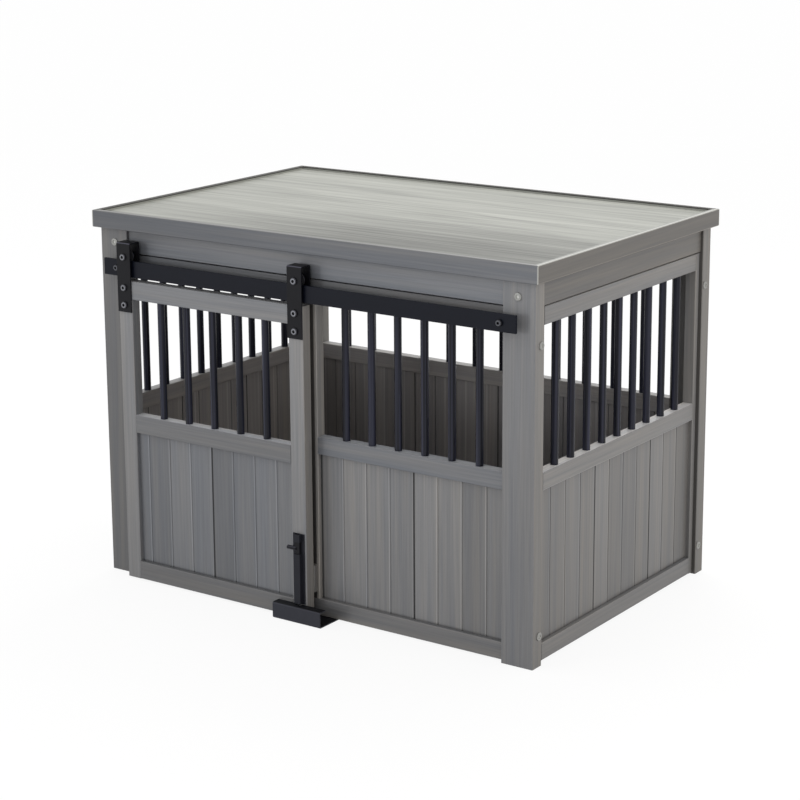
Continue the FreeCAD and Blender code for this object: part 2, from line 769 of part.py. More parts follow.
def drop_bolt():
    """A flat bar with a chamfered tip and a round lever that points to the door's middle."""
    body = new_body("latch_bolt", "front", "latch_along", "-plate_face - drop_clearance", "drop_tip")
    flat = new_sketch(body, "XY_Plane")
    rectangle(flat, "-drop_width / 2", "-drop_thick", "drop_width / 2", 0)
    bar = pad(body, flat, "drop_length")

    def tip(edge):
        return edge.BoundBox.ZMax < number("drop_tip_ease")

    ease(body, bar, tip, "Chamfer", "Size", "drop_tip_ease")
    lever = new_sketch(body, "YZ_Plane", "lever_root - drop_width / 2")
    circle(lever, "plate_face + drop_clearance - lever_middle", "lever_up - drop_tip", "lever_diameter")
    pad(body, lever, "lever_root + lever_length", backwards=True)
    node(body)


def floor_guide():
    """A folded channel: its tail lies under the front wall and its flange stands before the door."""
    body = new_body("floor_guide", "front", "guide_along", 0, 0)
    folded = new_sketch(body, "YZ_Plane")
    outline(folded, [
        ("guide_tail", 0), ("-guide_reach", 0), ("-guide_reach", "guide_height"),
        ("-flange_back", "guide_height"), ("-flange_back", "guide_height - guide_sheet"),
        ("guide_sheet - guide_reach", "guide_height - guide_sheet"),
        ("guide_sheet - guide_reach", "guide_sheet"), ("guide_tail", "guide_sheet")])
    channel = pad(body, folded, "guide_length")
    front = number("guide_sheet / 2 - guide_reach")

    def outer_bend(edge):
        return runs_along(Vector(1, 0, 0))(edge) and edge.BoundBox.YMax < front

    ease(body, channel, outer_bend, "Fillet", "Radius", "guide_bend")
    notch = new_sketch(body, "XY_Plane", "guide_height")
    middle = "latch_along - guide_along"
    rectangle(notch, f"{middle} - notch_width / 2", "-notch_front", f"{middle} + notch_width / 2", "-flange_back")
    pocket(body, notch, "guide_sheet")
    node(body)


def guide_block():
    """A block on the centre stile that keeps the door's back at its distance."""
    timber("guide_block", "front", ("block_along", "wall_recess - block_thick", "block_bottom"),
           ("block_width", "block_thick", "block_height"), upright=True)


def check_model():
    doc.recompute()
    for thing in doc.Objects:
        if "Invalid" in thing.State or "Error" in thing.State:
            raise RuntimeError(f"{thing.Label} did not build: {thing.State}")
    for piece in nodes:
        if piece.Shape.isNull() or not piece.Shape.isValid() or not piece.Shape.Solids:
            raise RuntimeError(f"{piece.Label} has no sound solid")


def write_parts():
    os.makedirs("parts", exist_ok=True)
    for piece in nodes:
        piece.Shape.exportStep(os.path.join("parts", piece.Label + ".step"))
    print(len(nodes), "nodes,", sum(len(piece.Shape.Solids) for piece in nodes), "solids")
    for name in ("front_y", "door_travel", "axle_up", "drop_travel", "roller_radius"):
        print(name, round(number(name), 4))


fill_sheet()
top()
posts()
aprons()
front_wall()
side_walls()
back_wall()
crate_floor()
door_frame()
track()
hangers()
latch()
drop_bolt()
floor_guide()
guide_block()
check_model()
write_parts()
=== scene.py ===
# %% [markdown]
# # A pet crate with a sliding barn door
# The crate is grey-stained furniture with black iron hardware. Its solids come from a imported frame, so
# this lesson adds what a frame has no room for: the camera, the light, the stain with its grain, eased
# edges and small fasteners.

# %% Load the frame
import json
import math
import zlib

import bmesh
import bpy
from mathutils import Color, Matrix, Vector


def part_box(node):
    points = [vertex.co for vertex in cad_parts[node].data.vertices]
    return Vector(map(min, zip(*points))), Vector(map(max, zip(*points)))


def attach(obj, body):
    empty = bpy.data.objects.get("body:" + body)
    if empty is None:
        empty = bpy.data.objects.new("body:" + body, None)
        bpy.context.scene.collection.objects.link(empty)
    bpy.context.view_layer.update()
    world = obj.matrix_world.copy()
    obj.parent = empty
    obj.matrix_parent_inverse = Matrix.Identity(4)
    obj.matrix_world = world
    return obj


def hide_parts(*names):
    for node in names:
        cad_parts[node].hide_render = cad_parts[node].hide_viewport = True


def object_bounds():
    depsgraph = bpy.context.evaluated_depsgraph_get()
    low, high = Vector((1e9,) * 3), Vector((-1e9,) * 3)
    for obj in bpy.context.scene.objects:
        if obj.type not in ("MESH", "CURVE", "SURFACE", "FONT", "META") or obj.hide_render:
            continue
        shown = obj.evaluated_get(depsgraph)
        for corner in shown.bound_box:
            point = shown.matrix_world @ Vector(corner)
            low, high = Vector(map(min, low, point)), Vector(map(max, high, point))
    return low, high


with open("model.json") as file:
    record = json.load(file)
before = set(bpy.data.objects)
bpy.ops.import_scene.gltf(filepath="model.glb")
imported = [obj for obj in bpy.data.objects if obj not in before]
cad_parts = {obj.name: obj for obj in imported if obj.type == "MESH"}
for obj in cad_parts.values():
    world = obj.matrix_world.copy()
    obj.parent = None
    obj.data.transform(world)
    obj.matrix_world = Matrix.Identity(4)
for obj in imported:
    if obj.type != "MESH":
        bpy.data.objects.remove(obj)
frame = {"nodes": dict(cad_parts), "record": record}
cad_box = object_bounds()
nodes = frame["nodes"]
MM = 0.001
RIGHT, BACK, UP = range(3)
print(f"{len(nodes)} nodes in a box of {[round(side, 3) for side in cad_box[1] - cad_box[0]]} m")

# %% [markdown]
# ## Camera
# A product photograph is taken from far away with a long lens, and its upright edges stay nearly
# parallel. The place, the turn and the focal length below were found by lining up the crate's corners
# with the picture. A focal length in pixels becomes a lens in millimetres through the width of the
# sensor, and a small shift keeps the uprights straight.

# %% Camera
PHOTO_SIDE = 800
FOCAL_PIXELS = 2207.2
SENSOR_WIDTH = 36
EYE = Vector((2.5504, -3.6537, 1.5563))
AZIMUTH = math.radians(34.923)
ELEVATION = math.radians(13.173)
ROLL = math.radians(-0.334)
UPRIGHT_SHIFT = -0.08


def aim(azimuth, elevation, roll):
    """The turn of a camera that looks in from that side and height, and then rolls about its own axis."""
    backward = Vector((math.sin(azimuth) * math.cos(elevation), -math.cos(azimuth) * math.cos(elevation),
                       math.sin(elevation)))
    level = Vector((math.cos(azimuth), math.sin(azimuth), 0))
    right = math.cos(roll) * level + math.sin(roll) * backward.cross(level)
    return Matrix((right, backward.cross(right), backward)).transposed().to_4x4()


lens = bpy.data.cameras.new("camera")
lens.sensor_width = SENSOR_WIDTH
lens.lens = SENSOR_WIDTH * FOCAL_PIXELS / PHOTO_SIDE
lens.shift_y = UPRIGHT_SHIFT
camera = bpy.data.objects.new("camera", lens)
camera.matrix_world = Matrix.Translation(EYE) @ aim(AZIMUTH, ELEVATION, ROLL)
bpy.context.collection.objects.link(camera)
bpy.context.scene.camera = camera
bpy.context.scene.view_settings.view_transform = "Standard"
print(f"lens {lens.lens:.1f} mm, {EYE.length:.2f} m from the origin")

# %% [markdown]
# ## Shader maths as Python
# A material is a graph of nodes, and a long graph is hard to read as links. The class `Socket` wraps one
# output and turns `+`, `-`, `*` and `abs` into Math nodes, so that a mask can be written as a formula.

# %% Sockets
class Socket:
    """One output of a node, on which sums can be written."""

    def __init__(self, graph, output):
        self.graph = graph
        self.output = output

    def __add__(self, other):
        return self.graph.math("ADD", self, other)

    def __sub__(self, other):
        return self.graph.math("SUBTRACT", self, other)

    def __rsub__(self, other):
        return self.graph.math("SUBTRACT", other, self)

    def __mul__(self, other):
        return self.graph.math("MULTIPLY", self, other)

    def __abs__(self):
        return self.graph.math("ABSOLUTE", self)

    __radd__ = __add__
    __rmul__ = __mul__


print("sums can be written on sockets")

# %% [markdown]
# The class `Graph` makes the nodes. Its method `node` takes settings first, and then the values or links
# of the sockets. The other methods are short words for what the finishes below use most: a held ramp, a
# mix of two colours, the place and the direction of the surface, stretched noise and bump. A mask by
# direction starts where a face has turned most of the way towards an axis, so that eased edges stay out
# of it.

# %% Graphs
MASK_START = 0.7
MASK_FULL = 0.9


class Graph:
    """A node tree that is built from Python expressions."""

    def __init__(self, tree):
        self.tree = tree
        tree.nodes.clear()

    def node(self, kind, settings=(), sockets=(), output=0):
        """A new node, of which one output is returned."""
        made = self.tree.nodes.new("ShaderNode" + kind)
        for name, value in dict(settings).items():
            setattr(made, name, value)
        for name, value in dict(sockets).items():
            if isinstance(value, Socket):
                self.tree.links.new(value.output, made.inputs[name])
            else:
                made.inputs[name].default_value = value
        return Socket(self, made.outputs[output]) if made.outputs else None

    def math(self, operation, *values):
        """One Math node on numbers and sockets."""
        return self.node("Math", {"operation": operation}, enumerate(values))

    def greatest(self, first, *others):
        """The largest of several values."""
        for other in others:
            first = self.math("MAXIMUM", first, other)
        return first

    def ramp(self, value, start, end):
        """0 where the value is at start, 1 where it is at end, and held there beyond them."""
        return self.node("MapRange", {"clamp": True}, {"Value": value, "From Min": start, "From Max": end})

    def mix(self, factor, first, second):
        """A colour between two colours."""
        return self.node("Mix", {"data_type": "RGBA"}, {0: factor, 6: first, 7: second}, output=2)

    def shade(self, colour, factor):
        """A colour made lighter or darker by a factor."""
        start = colour if isinstance(colour, Socket) else colour[:3]
        return self.node("VectorMath", {"operation": "SCALE"}, {0: start, "Scale": factor})

    def parts(self, vector):
        """The x, y and z of a vector."""
        first = self.node("SeparateXYZ", sockets={0: vector})
        return [Socket(self, part) for part in first.output.node.outputs]

    def place(self):
        """The surface's place in the object's own coordinates."""
        return self.node("TexCoord", output="Object")

    def where(self, axis):
        """The surface's place along one axis, in metres."""
        return self.parts(self.place())[axis]

    def facing(self):
        """The three parts of the surface's direction."""
        return self.parts(self.node("TexCoord", output="Normal"))

    def looking(self, axis, sign=1, start=MASK_START, full=MASK_FULL):
        """1 on faces that look along an axis, or against it where the sign is -1."""
        return self.ramp(self.facing()[axis] * sign, start, full)

    def noise(self, scales, shift=(0, 0, 0), detail=3.0, distortion=0.0):
        """Noise with as many grains to the metre along each axis as scales says."""
        spot = self.node("Mapping", sockets={"Vector": self.place(), "Location": shift, "Scale": scales})
        return self.node("TexNoise", sockets={"Vector": spot, "Scale": 1.0, "Detail": detail,
                                              "Distortion": distortion})

    def bump(self, height, depth):
        """A surface that leans as if it rose and fell by that depth."""
        return self.node("Bump", sockets={"Height": height, "Distance": depth})

    def seen(self):
        """1 for rays that come from the camera, or from a reflection or a pane that the camera sees."""
        kinds = ("Camera", "Glossy", "Transmission")
        return self.greatest(*(self.node("LightPath", output=f"Is {kind} Ray") for kind in kinds))


print("graphs can be built from expressions")

# %% [markdown]
# A finish is a function that gets a graph and returns the sockets of one Principled shader. Colours are
# written as a picture shows them, from 0 to 255. The shader works with amounts of light, so each colour
# is made linear on its way in.

# %% Materials and colours
FULL_CHANNEL = 255


def material_from(name, build):
    """A material whose graph is built by a function that returns the sockets of its shader."""
    material = bpy.data.materials.new(name)
    material.use_nodes = True
    graph = Graph(material.node_tree)
    shader = graph.node("BsdfPrincipled", sockets=build(graph))
    graph.node("OutputMaterial", sockets={"Surface": shader})
    return material


def paint(red, green, blue):
    """A colour as a picture shows it, made linear for the shader."""
    shown = Color([channel / FULL_CHANNEL for channel in (red, green, blue)])
    return (*shown.from_srgb_to_scene_linear(), 1.0)


print("a middle grey is", [round(part, 3) for part in paint(128, 128, 128)])

# %% [markdown]
# ## Light tent
# The crate stands in a white studio. A white world is the light tent: it lights all sides, more from the
# left and from above, and corners turn dark by themselves because they see less of it. To the camera, and
# in reflections, the tent is plain white.

# %% Light tent
TENT_LEVEL = 0.9
TENT_RIGHT = -0.35
TENT_UP = 0.12
WHITE = (1.0, 1.0, 1.0, 1.0)

world = bpy.data.worlds.new("white_tent")
world.use_nodes = True
bpy.context.scene.world = world
tent = Graph(world.node_tree)
rightward, _, upward = tent.parts(tent.node("TexCoord", output="Generated"))
level = TENT_LEVEL * (1 + rightward * TENT_RIGHT + upward * TENT_UP)
strength = level + tent.seen() * (1 - level)
tent_light = tent.node("Background", sockets={"Color": WHITE, "Strength": strength})
tent.node("OutputWorld", sockets={"Surface": tent_light})
print(f"tent at {TENT_LEVEL} of white")

# %% [markdown]
# ## Soft panels
# Three soft panels add what an even tent can't. The key stands at the left front, only a little higher
# than the crate, so the hardware throws its shadows to the right. A warm panel lights the right wall, and
# is kept out of reflections because it would draw bright lines on the bars. The third hangs above and
# behind, and lights the top more than the walls.

# %% Soft panels
COOL_LIGHT = (0.94, 0.97, 1.0)
WARM_LIGHT = (1.0, 0.95, 0.88)
TOP_LIGHT = (1.0, 1.0, 0.96)


def soft_panel(name, place, side, watts, colour, mirrored=True):
    """A square lamp that looks at the crate's middle and is out of sight itself."""
    light = bpy.data.lights.new(name, "AREA")
    light.size = side
    light.energy = watts
    light.color = colour
    panel = bpy.data.objects.new(name, light)
    panel.location = place
    panel.visible_camera = False
    panel.visible_glossy = mirrored
    middle = (cad_box[0] + cad_box[1]) / 2
    panel.rotation_euler = (middle - panel.location).to_track_quat("-Z", "Y").to_euler()
    bpy.context.collection.objects.link(panel)


soft_panel("key_panel", place=(-2.6, -5.2, 1.1), side=0.85, watts=37, colour=COOL_LIGHT)
soft_panel("side_panel", place=(4.2, 0.2, 1.6), side=1.6, watts=38, colour=WARM_LIGHT, mirrored=False)
soft_panel("overhead_panel", place=(-0.2, 1.5, 2.5), side=1.6, watts=28, colour=TOP_LIGHT)
print(f"{len(bpy.data.lights)} soft panels hung")

# %% [markdown]
# ## Floor
# The floor shines white to the camera, so that it runs into the backdrop, and a share of plain diffuse
# keeps the crate's soft shadow on it. To the crate itself the floor is a dimmer grey, as a studio floor
# is, or the undersides of the rails would be too bright.

# %% Floor
FLOOR_SIDE = 60
FLOOR_WHITE = (0.97, 0.97, 0.97, 1.0)
FLOOR_DIM = (0.45, 0.45, 0.45, 1.0)
SHADOW_SHARE = 0.12

shape = bmesh.new()
bmesh.ops.create_grid(shape, x_segments=1, y_segments=1, size=FLOOR_SIDE / 2)
floor_mesh = bpy.data.meshes.new("studio_floor")
shape.to_mesh(floor_mesh)
shape.free()
studio_floor = bpy.data.objects.new("studio_floor", floor_mesh)
bpy.context.collection.objects.link(studio_floor)

floor_finish = bpy.data.materials.new("studio_floor")
floor_finish.use_nodes = True
sweep = Graph(floor_finish.node_tree)
matt = sweep.node("BsdfDiffuse", sockets={"Color": sweep.mix(sweep.seen(), FLOOR_DIM, FLOOR_WHITE)})
glow = sweep.node("Emission", sockets={"Color": WHITE})
shown = sweep.node("MixShader", sockets={0: sweep.seen() * (1 - SHADOW_SHARE), 1: matt, 2: glow})
sweep.node("OutputMaterial", sockets={"Surface": shown})
floor_mesh.materials.append(floor_finish)
print(f"a floor {FLOOR_SIDE} m wide")

# %% [markdown]
# ## Batches of boards
# The boards are fir under a thin grey stain, and each group of them came from its own batch. A small
# table gives each batch its depth of stain and its warmth, and the first row whose word starts a board's
# name is the one that counts. A picture of wood would repeat and would need unwrapping. Noise works on
# every board in its own place, and a shift worked out from the board's name keeps any two boards from
# matching.

# %% Batches of boards
BATCHES = {
    "door_stile_left": (1.52, 0.5), "door_stile": (1.62, 0.5), "door_top": (1.45, 0.4),
    "door_mid": (1.02, 0.35), "door_bottom": (0.87, 0.55), "door_boards": (1.2, 0.25),
    "front_stile": (1.95, 0.8), "front_top": (0.86, 0.3), "front_mid": (1.22, 0.2),
    "front_bottom": (1.0, 0.6), "front_boards": (1.38, 0.5), "guide_block": (1.1, 0.8),
    "right_bottom": (1.1, 0.6), "right_": (1.34, 0.6),
    "post_front_left": (0.92, 0.5), "post_back": (1.08, 0.9), "post_": (1.34, 0.4),
    "apron_front": (1.32, 0.2), "apron_right": (0.88, 0.8),
    "top_rim_front": (0.92, 0.15), "top_rim_right": (0.74, 0.9),
    "": (1.15, 0.6)}
SHIFTS = (97, 89, 83)


def batch_of(name):
    """The depth of stain and the warmth of the batch that a board comes from."""
    return next(batch for start, batch in BATCHES.items() if name.startswith(start))


def shift_for(name):
    """A place in the noise that belongs to this name alone, and is the same each time."""
    code = zlib.crc32(name.encode())
    shift = []
    for size in SHIFTS:
        code, place = divmod(code, size)
        shift.append(place)
    return shift


print(f"{len(BATCHES)} batches of boards")

# %% [markdown]
# ## Where stain and painted light differ
# The colour isn't even over a board. Eased edges are paler, partly by wear and partly as a painted
# highlight. Inner faces and undersides are browner, and painted light makes them paler. Painted shade
# makes upright boards darker near their feet, and the long boards under the top darker at their left end.
# A face's direction and place tell a shader all of this, so no mask has to be painted by hand.

# %% Where stain and painted light differ
EDGE_START = 0.95
EDGE_FULL = 0.8
INDOOR_START = 0.6
INWARD = {"front": (BACK, 1), "door": (BACK, 1), "back": (BACK, -1),
          "left": (RIGHT, 1), "right": (RIGHT, -1)}
UNDERSIDE = (UP, -1)
FRONT_SHADE_GRADIENT = 0.2
FOOT_SHADE_GRADIENT = 0.32
EVEN_HEIGHT = 0.6


def wall_of(name):
    """The wall that a piece belongs to, which is the first word of its name."""
    return name.split("_")[0]


def edge_mask(graph):
    """1 on faces that are square to no axis, which are the eased edges and the sides of grooves."""
    return graph.ramp(graph.greatest(*(abs(part) for part in graph.facing())), EDGE_START, EDGE_FULL)


def indoors(graph, name):
    """1 on the faces of a wall that look into the crate, and on the underside of other pieces."""
    axis, sign = INWARD.get(wall_of(name), UNDERSIDE)
    return graph.looking(axis, sign, start=INDOOR_START)


def shade_gradient(graph, name, grain):
    """Painted shade: darker towards the left along the front boards under the top, and towards the foot of
    an upright board.
    """
    if name in ("apron_front", "top_rim_front"):
        return 1 + graph.where(RIGHT) * (FRONT_SHADE_GRADIENT / cad_box[1][RIGHT])
    if grain == UP:
        return 1 + (graph.where(UP) * (1 / cad_box[1][UP]) - EVEN_HEIGHT) * FOOT_SHADE_GRADIENT
    return 1


print(f"{len(INWARD)} walls have an inner face")

# %% [markdown]
# ## Stain and clear coat
# Fine fibres run along each board, streaks and bands drift between a cool and a warm grey, and short
# pores are darker. Each is noise that is stretched along the grain, with its width and length given in
# millimetres. On two boards the face that is turned from the key light has painted light: it is warmer,
# with painted shade on the post and painted light on the door's stile. A thin satin coat lies over the
# stain, a little duller where fibres stand up.

# %% Stain and clear coat
COOL_GREY = paint(103, 106, 112)
WARM_GREY = paint(113, 109, 104)
INDOOR_BROWN = paint(114, 105, 103)
INDOOR_BROWN_SHARE = 0.25
FIBRE_SIZE = (1.8, 120)
STREAK_SIZE = (5, 300)
BAND_SIZE = (18, 600)
PORE_SIZE = (0.7, 14)
PORE_LIMITS = (0.58, 0.75)
NOISE_MEAN = 0.5
FIBRE_DEPTH = 0.4
STREAK_DEPTH = 0.5
BAND_DEPTH = 0.3
PORE_DEPTH = 0.08
BAND_WARMTH = 0.9
STREAK_WARMTH = 0.5
SIDE_LIGHT_WARMTH = 0.4
SIDE_LIGHT_LEVELS = {"post_front_right": -0.06, "door_stile_right": 0.12}
SATIN_ROUGHNESS = 0.3
FIBRE_ROUGHNESS = 0.22
FIBRE_HEIGHT = 0.1 * MM


def grain_scales(grain, across, along):
    """How many grains there are to the metre on each axis, from their sizes in millimetres."""
    return [1 / MM / (along if axis == grain else across) for axis in (RIGHT, BACK, UP)]


def stain(graph, name, grain):
    """The stain's colour, and the fibres that also roughen it."""
    tone, warmth = batch_of(name)
    shift = shift_for(name)
    fibres = graph.noise(grain_scales(grain, *FIBRE_SIZE), shift, detail=4)
    streaks = graph.noise(grain_scales(grain, *STREAK_SIZE), shift, distortion=0.2)
    bands = graph.noise(grain_scales(grain, *BAND_SIZE), shift, detail=2)
    pores = graph.ramp(graph.noise(grain_scales(grain, *PORE_SIZE), shift, detail=2), *PORE_LIMITS)
    drift = warmth + (bands - NOISE_MEAN) * BAND_WARMTH + (streaks - NOISE_MEAN) * STREAK_WARMTH
    level = 1 + (fibres - NOISE_MEAN) * FIBRE_DEPTH + (streaks - NOISE_MEAN) * STREAK_DEPTH
    level = level + (bands - NOISE_MEAN) * BAND_DEPTH - pores * PORE_DEPTH
    # Painted light on the face that looks right: warmer, darker on the post and lighter on the door's
    # stile.
    if name in SIDE_LIGHT_LEVELS:
        side_light = graph.looking(RIGHT)
        drift = drift + side_light * SIDE_LIGHT_WARMTH
        level = level + side_light * SIDE_LIGHT_LEVELS[name]
    grey = graph.mix(graph.ramp(drift, 0, 1), COOL_GREY, WARM_GREY)
    colour = graph.mix(indoors(graph, name) * INDOOR_BROWN_SHARE, grey, INDOOR_BROWN)
    return graph.shade(colour, level * tone * shade_gradient(graph, name, grain)), fibres


def satin(graph, colour, fibres):
    """The thin clear coat over the stain."""
    return {"Base Color": colour, "Roughness": SATIN_ROUGHNESS + fibres * FIBRE_ROUGHNESS,
            "Normal": graph.bump(fibres, FIBRE_HEIGHT)}


print(f"warm grey {[round(part, 3) for part in WARM_GREY[:3]]}, linear")

# %% [markdown]
# ## Stained boards
# Some boards carry marks of their own. The ledges under the bars get painted light, and the foot of the
# right wall's middle rail a pale painted highlight. The gap above the front's top rail, the inner corners
# at the back and the strip of stile just behind the door's edge are deep shadow on the real crate. Soft
# light from all sides leaves them too pale, so they get painted shade. The side walls' top rails have a
# dark line where a batten crosses them, and its place is read from the solids.

# %% Stained boards
# Eased edges are paler, partly wear and partly a painted highlight.
EDGE_WEAR_AND_HIGHLIGHT = 0.12
# Painted light on inner faces and undersides.
INDOOR_LIGHT = 0.52
LEDGE_LIGHT = 0.8
LEDGE_LIGHTS = {"door": 2.1, "front": 0.7, "right": 2.6}
EDGE_LINE = 2.6 * MM
FOOT_HIGHLIGHT = 0.45
GAP_SHADE = 0.75
CORNER_SHADE = 0.5
DOOR_SHADOW = 0.82
END_LINE = 1.6 * MM
END_DARK = 0.45


def rail_ends(name):
    """Where the battens beside a side wall's boards cross its top rail."""
    if name not in ("left_top_rail", "right_top_rail"):
        return []
    return [corner.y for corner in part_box(name.replace("top_rail", "boards"))]


def marks(graph, name):
    """How much lighter or darker than its batch a board is, over its faces."""
    # Eased edges get a painted highlight with some wear, and inner faces and undersides get painted light.
    level = 1 + edge_mask(graph) * EDGE_WEAR_AND_HIGHLIGHT + indoors(graph, name) * INDOOR_LIGHT
    if name.endswith("mid_rail"):
        # Painted light on the upper faces of the ledges under the bars.
        level = level + graph.looking(UP) * LEDGE_LIGHTS.get(wall_of(name), LEDGE_LIGHT)
    if name == "right_mid_rail":
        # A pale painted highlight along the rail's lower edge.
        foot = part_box(name)[0].z + EDGE_LINE
        level = level + graph.ramp(graph.where(UP), foot, foot - EDGE_LINE / 2) * FOOT_HIGHLIGHT
    if name == "front_top_rail":
        # Painted shade on the rail's top face, seen through the gap under the apron.
        level = level - graph.looking(UP) * GAP_SHADE
    if name.startswith("post_back"):
        # Painted shade on the back posts' faces that look forward into the corners.
        level = level - graph.looking(BACK, -1) * CORNER_SHADE
    if name == "front_stile":
        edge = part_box("door_stile_right")[1].x
        behind = graph.ramp(graph.where(RIGHT), edge, edge - EDGE_LINE)
        # Painted shadow on the stile's face behind the door's edge.
        level = level - graph.looking(BACK, -1) * behind * DOOR_SHADOW
    for end in rail_ends(name):
        near = abs(graph.where(BACK) - end)
        level = level * (1 - graph.ramp(near, END_LINE, END_LINE / 2) * END_DARK)
    return level


def stained_wood(name):
    """The finish of a plain board."""
    def build(graph):
        colour, fibres = stain(graph, name, grain_of(name))
        return satin(graph, graph.shade(colour, marks(graph, name)), fibres)
    return material_from("wood_" + name, build)


def dress(name, material):
    """Give a node's solid its finish."""
    for slot in nodes[name].material_slots:
        slot.material = material


UPRIGHT = ("post_", "_stile", "_batten", "guide_block")
ROUND = ("_bars", "_screws", "_bolts", "_axles", "_sleeves", "_spacers")
IRON = ("track_bar", "hanger_left", "hanger_right", "latch_body", "latch_bolt", "floor_guide")
ROLLERS = ("roller_left", "roller_right")


def grain_of(name):
    """The axis that a board's grain runs along."""
    if any(word in name for word in UPRIGHT):
        return UP
    return BACK if "left" in name or "right" in name else RIGHT


def is_plain_board(name):
    """Whether a node is plain board. Grooved boards and the top have finishes of their own."""
    if name in IRON + ROLLERS or name.startswith("top_"):
        return False
    return not name.endswith((*ROUND, "_boards"))


plain_boards = [name for name in nodes if is_plain_board(name)]
for name in plain_boards:
    dress(name, stained_wood(name))
print(f"{len(plain_boards)} plain boards stained")

# %% [markdown]
# ## Joints between boards
# A panel is made of a few wide boards side by side, and stain gathers in their joints. The places could
# be typed in, but they are read from the solids, so that they follow them: a joint is where the next
# board starts. A solid's mesh is loose triangles, so a copy is merged first, and its islands are then the
# boards.

# %% Joints between boards
WELD = 0.01 * MM
FLAT = math.radians(1)
PALE_LINE = 2.2 * MM


def islands(shape):
    """The separate solids of a mesh, each as a list of its vertices."""
    done = set()
    for start in shape.verts:
        if start in done:
            continue
        done.add(start)
        found = [start]
        for vertex in found:
            fresh = [edge.other_vert(vertex) for edge in vertex.link_edges]
            fresh = dict.fromkeys(other for other in fresh if other not in done)
            done.update(fresh)
            found.extend(fresh)
        yield found


def merged(name):
    """A copy of a solid's mesh whose loose triangles are joined."""
    shape = bmesh.new()
    shape.from_mesh(nodes[name].data)
    bmesh.ops.remove_doubles(shape, verts=shape.verts, dist=WELD)
    bmesh.ops.dissolve_limit(shape, angle_limit=FLAT, verts=shape.verts, edges=shape.edges)
    return shape


def dark_lines(name, along):
    """Where stain gathers: in the joints of a panel's boards, and beside the stile on the front."""
    shape = merged(name)
    joints = sorted(min(vertex.co[along] for vertex in board) for board in islands(shape))[1:]
    shape.free()
    if name == "front_boards":
        joints.append(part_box("front_stile")[1].x + PALE_LINE)
    return joints


print("the front has dark lines at", [round(place, 3) for place in dark_lines("front_boards", RIGHT)], "m")

# %% [markdown]
# ## Grooved boards
# Each wall panel is cut with V grooves into planks. On the real boards every plank took the stain a
# little differently, so a number that is worked out from the plank's place gives each one its own tone.
# The arris on one side of each groove gets a pale painted highlight, and the distance to the next groove,
# which the plank's number leaves over, draws that line. Painted shade darkens the grooves and the sill,
# stain gathers in the joints between boards, and indoors both are milder.

# %% Grooved boards
PLANK_PITCH = 55.7 * MM
PLANK_CONTRAST = 0.36
PLANK_CONTRASTS = {"door": 0.28, "front": 0.34}
BATTEN_TRIM = 14 * MM
DOOR_SEAM = 26.9 * MM
GROOVE_WIDTH = 3 * MM
LINE_SOFTNESS = 0.2
GROOVE_HIGHLIGHT = 0.5
GROOVE_SHADE = 0.25
SILL_SHADE = 5 * MM
SILL_SHADOW = 0.6
JOINT_WIDTH = 3.2 * MM
JOINT_DARK = 0.8
INDOOR_CALM = 0.8
LEAST_LIGHT = 0.15


def first_seam(name):
    """Where the planks of a panel are counted from."""
    low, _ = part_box(name)
    seams = {"front": low.x, "door": low.x + DOOR_SEAM, "back": 0.0}
    return seams.get(wall_of(name), low.y - BATTEN_TRIM)


def planked_wood(name):
    """Stained boards whose planks are counted along the panel's longer side."""
    along = BACK if name.startswith(("left_", "right_")) else RIGHT
    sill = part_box(name.replace("boards", "bottom_rail"))[1].z
    contrast = PLANK_CONTRASTS.get(wall_of(name), PLANK_CONTRAST)

    def build(graph):
        colour, fibres = stain(graph, name, UP)
        place = graph.where(along)
        count = (place - first_seam(name)) * (1 / PLANK_PITCH)
        plank = graph.math("FLOOR", count)
        chance = graph.node("TexWhiteNoise", {"noise_dimensions": "1D"}, {"W": plank + shift_for(name)[0]})
        to_groove = (1 + plank - count) * PLANK_PITCH - GROOVE_WIDTH / 2
        # A pale painted highlight on one arris of each groove.
        pale = graph.ramp(to_groove, PALE_LINE * (1 + LINE_SOFTNESS), PALE_LINE * (1 - LINE_SOFTNESS))
        level = 1 + (chance - NOISE_MEAN) * contrast + pale * GROOVE_HIGHLIGHT
        # Painted light on the planks' inner faces.
        level = level + indoors(graph, name) * INDOOR_LIGHT
        # Painted shade in the grooves and on the eased edges.
        shadow = edge_mask(graph) * GROOVE_SHADE
        # Painted shadow along the sill.
        shadow = shadow + graph.ramp(graph.where(UP), sill + SILL_SHADE, sill) * SILL_SHADOW
        for line in dark_lines(name, along):
            shadow = shadow + graph.ramp(abs(place - line), JOINT_WIDTH, JOINT_WIDTH / 2) * JOINT_DARK
        shadow = shadow * (1 - indoors(graph, name) * INDOOR_CALM)
        light = graph.math("MAXIMUM", 1 - shadow, LEAST_LIGHT)
        return satin(graph, graph.shade(colour, level * light), fibres)
    return material_from("planks_" + name, build)


panels = [name for name in nodes if name.endswith("_boards")]
for name in panels:
    dress(name, planked_wood(name))
print(f"planks toned on {', '.join(panels)}")

# %% [markdown]
# ## Top panel
# The panel is paler than the walls and has a long soft figure. One darker flame lies right of the middle,
# and the front part gets softly darker towards the right. Three sizes of noise, all stretched along the
# panel, make the figure, and the dark front wanders with the broadest of them so that its edge isn't a
# straight line.

